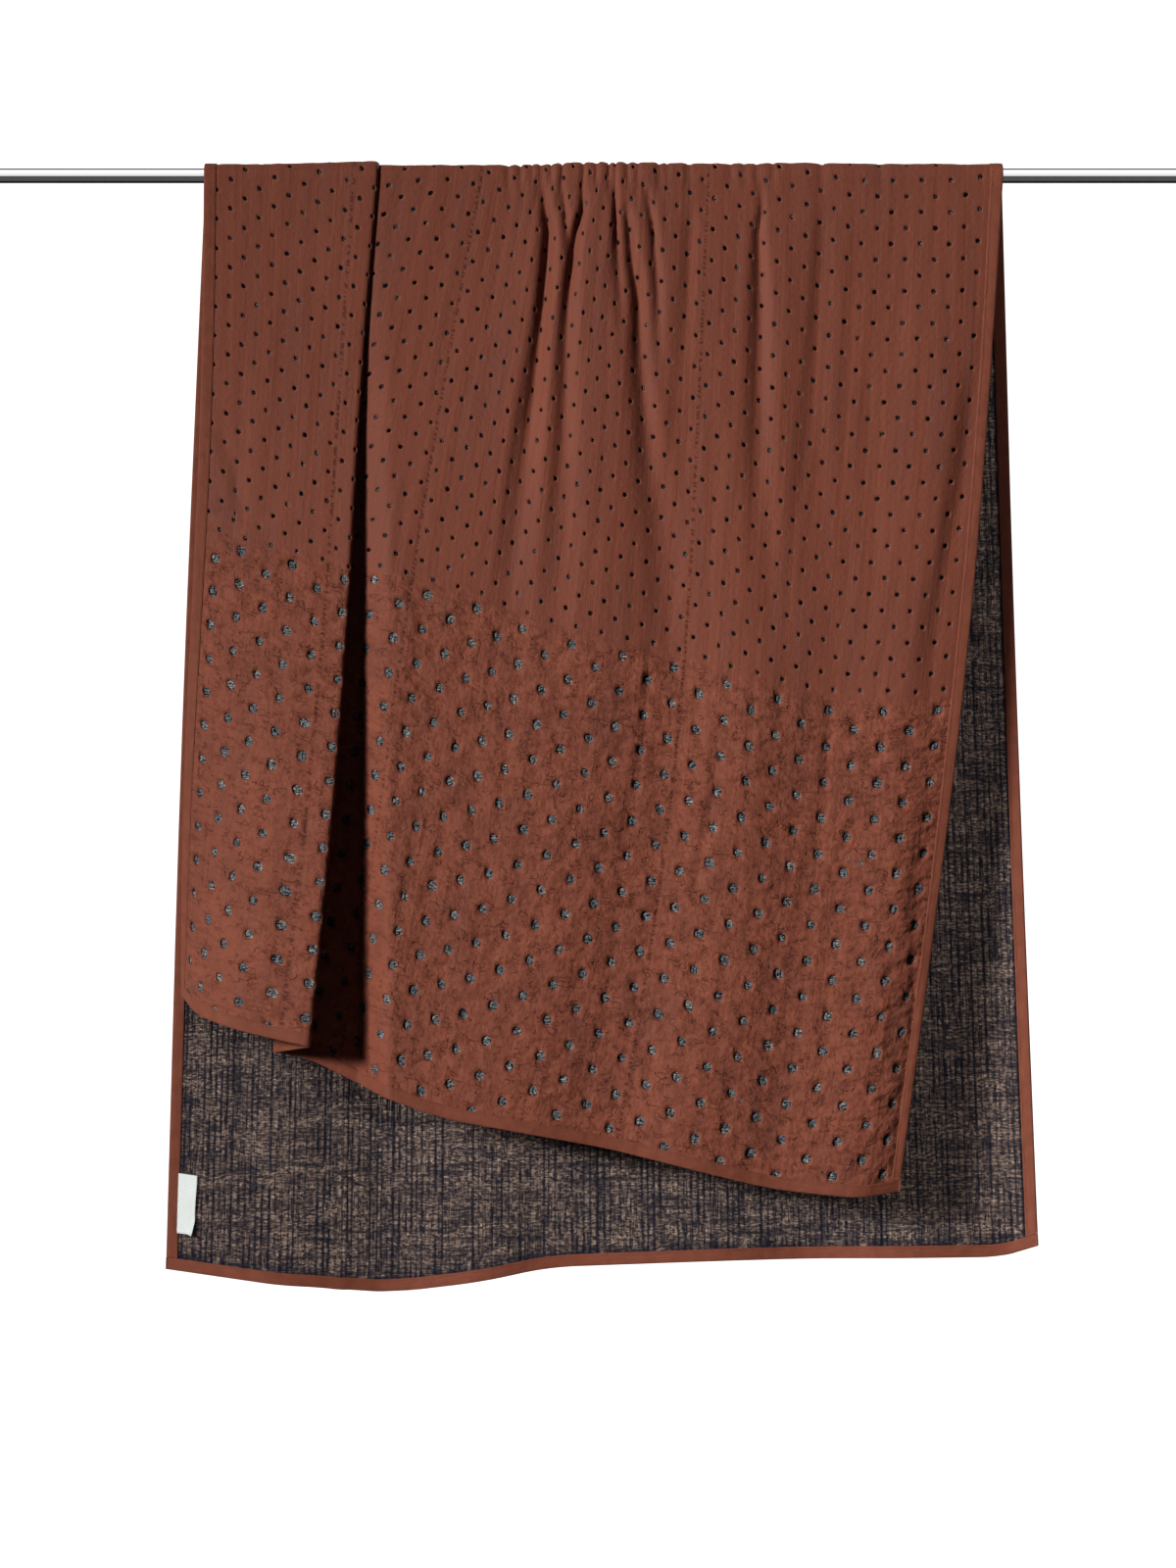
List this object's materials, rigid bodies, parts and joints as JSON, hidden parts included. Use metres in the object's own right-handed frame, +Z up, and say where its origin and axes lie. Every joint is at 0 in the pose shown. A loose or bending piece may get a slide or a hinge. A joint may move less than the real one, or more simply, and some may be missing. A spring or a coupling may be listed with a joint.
{
  "type": "throw blanket on a rod",
  "caption": "Lined throw blanket with bound edges, hung skewed over a round rod, with a deep pleat at the left of its front drop.",
  "frame": {"origin": "on the rod's axis, at its mid-length", "axes": "+X right along the rod, -Y towards the viewer of the front drop, +Z up"},
  "size_m": [1.4, 0.1247, 1.2372],
  "materials": {
    "brown_cotton": "soft matte cotton with a faint sheen",
    "charcoal_weave": "matte crinkled open weave, charcoal with pale threads",
    "brown_binding": "soft matte folded cotton strip",
    "white_label": "matte white tape, bare",
    "chrome": "polished chrome"
  },
  "bodies": {
    "root": {"face_cloth": "brown_cotton", "backing_cloth": "charcoal_weave", "binding_left": "brown_binding", "binding_right": "brown_binding", "binding_front_hem": "brown_binding", "binding_back_hem": "brown_binding", "label": "white_label", "rod": "chrome"}
  },
  "joints": []
}
